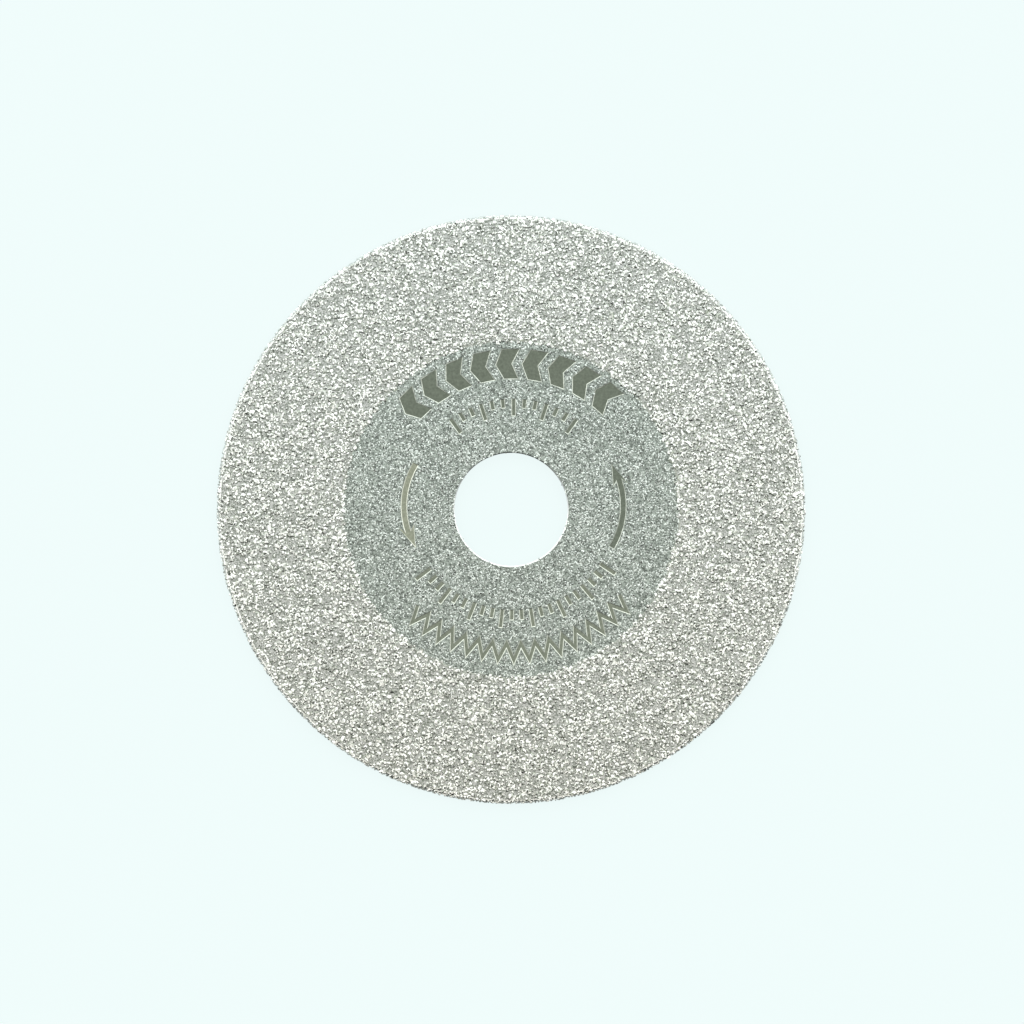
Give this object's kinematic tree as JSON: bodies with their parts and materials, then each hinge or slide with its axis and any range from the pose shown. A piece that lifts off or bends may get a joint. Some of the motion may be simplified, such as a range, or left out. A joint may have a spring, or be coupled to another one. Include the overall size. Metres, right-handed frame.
{
  "type": "cutting disc",
  "caption": "Thin flat plated cutting disc with a coarse grit band and rim, a finer textured clamping field in the middle and a plain round centre bore.",
  "frame": {"origin": "the bore's axis, on the plane that the disc lies on", "axes": "+Z along the bore's axis, up out of the face with the rotation arrows; the two arrows lie on -X and +X"},
  "size_m": [0.05, 0.05, 0.0009],
  "materials": {
    "plated_steel": "satin nickel plating over steel, with bonded abrasive grains on the band and rim"
  },
  "bodies": {
    "root": {"disc": "plated_steel"}
  },
  "joints": []
}
